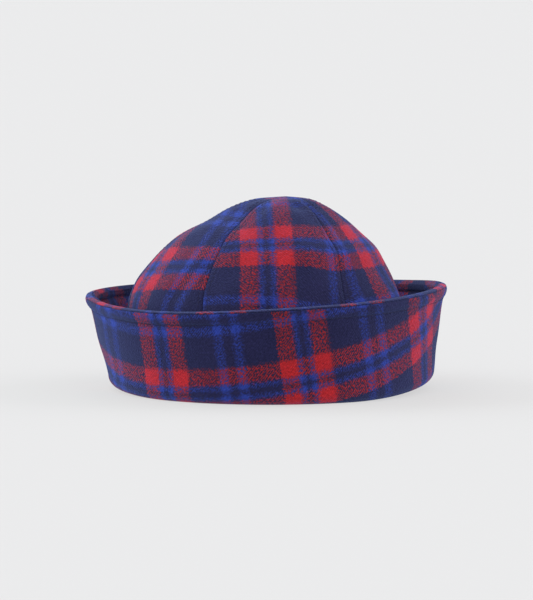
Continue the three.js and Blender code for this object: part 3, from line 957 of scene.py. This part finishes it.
def sett_colours(tree, place):
    """Colour of the thread at one place across the sett."""
    share = calculate(tree, "FRACT", calculate(tree, "DIVIDE", place, PERIOD))
    node = add_node(tree, "ShaderNodeValToRGB", Fac=share)
    ramp = node.color_ramp
    start = 0.0
    stops = []
    for dye, width in SETT:
        stops.append(((start + EDGE_BLUR) / PERIOD, dye))
        stops.append(((start + width - EDGE_BLUR) / PERIOD, dye))
        start += width
    ramp.elements[0].position, ramp.elements[1].position = stops[0][0], stops[1][0]
    for position, _ in stops[2:]:
        ramp.elements.new(position)
    for element, (_, dye) in zip(ramp.elements, stops):
        element.color = (*DYES[dye], 1)
    return node.outputs["Color"]


# %% [markdown]
# The wool's finish comes from soft numbers. It is rough, with hardly any gloss, and a bluish sheen
# of upright fibres lights up where the cloth turns away. Where threads of two dyes cross, a share
# of the darker one is blended in, as painted shade for the crevices between their fibres. The
# groove numbers darken the wool along seams, stitches, the hem and the rim, also as painted shade.
# The relief is made of four layers: the twill's ribs, the brushed tufts, the dashes and fine fibre.
# The heights are in millimetres, so the bump's distance is one millimetre.

# %% The wool material
TWILL_REPEAT = 1.75
RIB_WANDER = 1.2
NAP_SHIFT = 6.0
RIB_WEIGHT = 0.9
FLECK = 12.0
DASH_STRETCH = 1.4
# Share of the darker thread blended in where two dyes cross, a painted shade for the crevices between
# their fibres.
CROSSING_SHADE = 0.2
MASK = {"From Min": -0.9, "From Max": 0.9, "To Min": 0.04, "To Max": 0.96}
NOISES = {
    # spots in a millimetre, layers of finer spots, and how strong each layer is
    "nap": (0.62, 3.0, 0.6),
    "speckle": (0.7, 2.0, 0.4),
    "tuft": (0.7, 3.0, 0.6),
    "fibre": (2.6, 3.0, 0.7),
    "cloud": (0.06, 3.0, 0.5),
}
SHADE_SWINGS = {"fibre": 0.5, "tuft": 0.7, "cloud": 0.2}
RIB_SHADE = 0.05
# How much the groove numbers darken the wool, as painted shade.
GROOVE_SHADE = -0.1
HEIGHTS = {"tuft": 0.8, "speckle": 0.5, "fibre": 0.16}
RIB_HEIGHT = 0.05
ROUGH_SWING, LEAST_ROUGH = 0.14, 0.84
WOOL_FINISH = {
    "Specular IOR Level": 0.08,
    "Sheen Weight": 0.23,
    "Sheen Roughness": 0.5,
    "Sheen Tint": (0.27, 0.41, 0.96, 1),
}


def mix_colours(tree, share, first, second, blend="MIX"):
    """Mixes two colours by a share."""
    node = tree.nodes.new("ShaderNodeMix")
    node.data_type = "RGBA"
    node.blend_type = blend
    for name, value in (("Factor_Float", share), ("A_Color", first), ("B_Color", second)):
        feed(tree, next(s for s in node.inputs if s.identifier == name), value)
    return next(s for s in node.outputs if s.identifier == "Result_Color")


def around_one(tree, value, swing):
    """Turns a number that wavers around a half into one that wavers around 1."""
    return calculate(tree, "MULTIPLY_ADD", value, swing, 1 - swing / 2)


def set_finish(node, finish):
    """Sets plain numbers and colours on the node's own inputs."""
    for name, value in finish.items():
        node.inputs[name].default_value = value


def wool(name, slant):
    """Checked wool flannel. Slant is 1 for ribs that rise to the right and -1 to the left."""
    material, tree, shader = new_material(name)
    place = add_node(tree, "ShaderNodeUVMap")
    place.uv_map = "cloth"
    spot = place.outputs["UV"]

    nap = noise_on(tree, spot, *NOISES["nap"])
    apart = add_node(tree, "ShaderNodeSeparateXYZ", Vector=spot)
    drift = add_node(tree, "ShaderNodeSeparateColor", Color=nap.outputs["Color"])
    drifted = []
    for axis, channel in (("X", "Red"), ("Y", "Green")):
        shift = calculate(tree, "MULTIPLY_ADD", drift.outputs[channel], NAP_SHIFT, -NAP_SHIFT / 2)
        drifted.append(calculate(tree, "ADD", apart.outputs[axis], shift))
    warp = sett_colours(tree, drifted[0])
    weft = sett_colours(tree, drifted[1])

    run = calculate(tree, "MULTIPLY_ADD", apart.outputs["Y"], -slant, apart.outputs["X"])
    wander = calculate(tree, "MULTIPLY_ADD", drift.outputs["Blue"], RIB_WANDER, -RIB_WANDER / 2)
    wandering = calculate(tree, "ADD", run, wander)
    rib = calculate(tree, "SINE", calculate(tree, "MULTIPLY", wandering, 2 * math.pi / TWILL_REPEAT))
    climb = calculate(tree, "MULTIPLY_ADD", apart.outputs["Y"], slant, apart.outputs["X"])
    shortened = calculate(tree, "MULTIPLY", climb, 1 / DASH_STRETCH)
    dashes = add_node(tree, "ShaderNodeCombineXYZ", X=run, Y=shortened)
    speckle = noise_on(tree, dashes.outputs["Vector"], *NOISES["speckle"])
    broken = calculate(tree, "MULTIPLY_ADD", speckle.outputs["Fac"], FLECK, -FLECK / 2)
    lifted = calculate(tree, "MULTIPLY_ADD", rib, RIB_WEIGHT, broken)
    top = add_node(tree, "ShaderNodeMapRange", Value=lifted)
    set_finish(top, MASK)
    colour = mix_colours(tree, top.outputs["Result"], warp, weft)
    # Painted shade where two dyes cross: a share of the darker thread, for the crevices between
    # fibres.
    colour = mix_colours(tree, CROSSING_SHADE, colour, mix_colours(tree, 1.0, warp, weft, "DARKEN"))

    spots = {name: noise_on(tree, spot, *NOISES[name]).outputs["Fac"] for name in SHADE_SWINGS}
    shade = calculate(tree, "MULTIPLY_ADD", rib, RIB_SHADE, 1.0)
    for name, swing in SHADE_SWINGS.items():
        shade = calculate(tree, "MULTIPLY", shade, around_one(tree, spots[name], swing))
    # Painted shade: the groove numbers darken the wool along the seams, the stitches, the hem and the
    # rim's roll.
    painted_shade_attribute = add_node(tree, "ShaderNodeAttribute")
    painted_shade_attribute.attribute_name = "painted_groove_shade"
    painted_shade_factor = calculate(tree, "MULTIPLY_ADD", painted_shade_attribute.outputs["Fac"], GROOVE_SHADE, 1.0)
    shade = calculate(tree, "MULTIPLY", shade, painted_shade_factor)
    shade_colour = add_node(tree, "ShaderNodeCombineColor", Red=shade, Green=shade, Blue=shade)
    colour = mix_colours(tree, 1.0, colour, shade_colour.outputs["Color"], "MULTIPLY")
    light = add_node(tree, "ShaderNodeGamma", Color=colour, Gamma=DISPLAY_GAMMA)
    tree.links.new(light.outputs["Color"], shader.inputs["Base Color"])

    roughness = calculate(tree, "MULTIPLY_ADD", spots["fibre"], ROUGH_SWING, LEAST_ROUGH)
    tree.links.new(roughness, shader.inputs["Roughness"])
    set_finish(shader, WOOL_FINISH)

    spots["speckle"] = speckle.outputs["Fac"]
    height = calculate(tree, "MULTIPLY", rib, RIB_HEIGHT)
    for name, rise in HEIGHTS.items():
        height = calculate(tree, "MULTIPLY_ADD", spots[name], rise, height)
    bump = add_node(tree, "ShaderNodeBump", Height=height, Distance=MM, Strength=0.8)
    tree.links.new(bump.outputs["Normal"], shader.inputs["Normal"])
    return material


crown_wool = wool("crown_wool", -1)
brim_wool = wool("brim_wool", 1)
for piece in crown:
    piece.data.materials.append(crown_wool)
brim_outer.data.materials.append(brim_wool)
brim_inner.data.materials.append(crown_wool)

# %% [markdown]
# The thread is plain dark cotton. A wave of fine bands stands for its twist, and its tone changes
# a little, so that it doesn't look like plastic.

# %% The thread material
THREAD_TONES = [(0.010, 0.010, 0.032, 1), (0.026, 0.026, 0.075, 1)]
THREAD_FINISH = {"Roughness": 0.75, "Specular IOR Level": 0.2}
TWIST_HEIGHT = 0.05 * MM
TWIST_SCALE, TONE_SCALE = 900.0, 260.0


def thread():
    """Dark navy cotton thread with the fine ridges of its twist in its relief."""
    material, tree, shader = new_material("sewing_thread")
    spot = add_node(tree, "ShaderNodeTexCoord").outputs["Object"]
    twist = add_node(tree, "ShaderNodeTexWave", Vector=spot, Scale=TWIST_SCALE, Distortion=2.0)
    tone = noise_on(tree, spot, TONE_SCALE)
    colour = mix_colours(tree, tone.outputs["Fac"], *THREAD_TONES)
    tree.links.new(colour, shader.inputs["Base Color"])
    ridges = twist.outputs["Fac"]
    bump = add_node(tree, "ShaderNodeBump", Height=ridges, Distance=TWIST_HEIGHT, Strength=0.7)
    tree.links.new(bump.outputs["Normal"], shader.inputs["Normal"])
    set_finish(shader, THREAD_FINISH)
    return material


cotton = thread()
for piece in threads:
    piece.data.materials.append(cotton)

# %% [markdown]
# The studio is a wide pale floor under an even white sky, as in a catalogue picture. Four very
# wide suns add a gentle direction: one from the front, one from each side that wakes the sheen at
# the edges, and one from above and behind. The floor is a light table: a little glow of its own
# keeps it as pale as the sky and the shadow on it faint. Suns light it evenly however far it
# runs.

# %% Floor and light
FLOOR_HALF = 60.0
FLOOR_TONE = 0.16
FLOOR_GLOW = 0.594
FLOOR_FINISH = {
    "Base Color": (FLOOR_TONE, FLOOR_TONE, FLOOR_TONE, 1),
    "Roughness": 0.9,
    "Specular IOR Level": 0.0,
    "Emission Color": (1, 1, 1, 1),
    "Emission Strength": FLOOR_GLOW,
}
SKY = 0.84
SUNS = {
    # where it shines to, its strength, its width in degrees and its colour
    "front_light": ((0.12, 0.95, -0.2), 0.62, 60, (1.0, 0.99, 0.98)),
    "left_light": ((0.85, -0.2, -0.35), 2.35, 50, (0.88, 0.95, 1.0)),
    "right_light": ((-0.85, -0.2, -0.35), 1.75, 50, (0.98, 0.88, 0.98)),
    "top_light": ((0.3, -0.8, -0.7), 0.85, 50, (0.85, 0.93, 1.0)),
}


def studio_floor():
    """One wide pale quad just under the hat."""
    mesh = bpy.data.meshes.new("studio_floor")
    corners = [(x * FLOOR_HALF, y * FLOOR_HALF, 0) for x, y in ((-1, -1), (1, -1), (1, 1), (-1, 1))]
    mesh.from_pydata(corners, [], [(0, 1, 2, 3)])
    material, _, shader = new_material("pale_floor")
    set_finish(shader, FLOOR_FINISH)
    mesh.materials.append(material)
    floor = add_object("studio_floor", mesh)


def wide_sun(name, towards, strength, angle, colour):
    """A sun so wide that its shadows have no edge."""
    light = bpy.data.lights.new(name, "SUN")
    light.energy = strength
    light.angle = math.radians(angle)
    light.color = colour
    lamp = add_object(name, light)
    lamp.rotation_euler = Vector(towards).to_track_quat("-Z", "Y").to_euler()


studio_floor()
for name, sun in SUNS.items():
    wide_sun(name, *sun)

world = bpy.data.worlds.new("studio_sky")
world.use_nodes = True
world.node_tree.nodes["Background"].inputs["Color"].default_value = (SKY, SKY, SKY, 1)
bpy.context.scene.world = world
bpy.context.scene.view_settings.view_transform = "Standard"
print("lights:", len(SUNS), "suns and a sky of", SKY)

# %% [markdown]
# The camera stands far away with a long lens, so that the hat keeps its true proportions. It looks
# down by a few degrees, just enough to show the rim as a thin oval in front of the crown.

# %% Camera
CAMERA_DISTANCE = 3.5
CAMERA_HEIGHT_ANGLE = 5.1
CAMERA_TARGET = (0, 0, 0.056)
CAMERA_REACH = 200
LENS = 333.3

camera_data = bpy.data.cameras.new("studio_camera")
camera_data.lens = LENS
camera_data.clip_end = CAMERA_REACH
camera = add_object("studio_camera", camera_data)
tilt = math.radians(CAMERA_HEIGHT_ANGLE)
away = Vector((0, -math.cos(tilt), math.sin(tilt)))
camera.location = Vector(CAMERA_TARGET) + away * CAMERA_DISTANCE
camera.rotation_euler = (-away).to_track_quat("-Z", "Y").to_euler()
bpy.context.scene.camera = camera
print("camera", CAMERA_DISTANCE, "m away, lens", LENS, "mm")
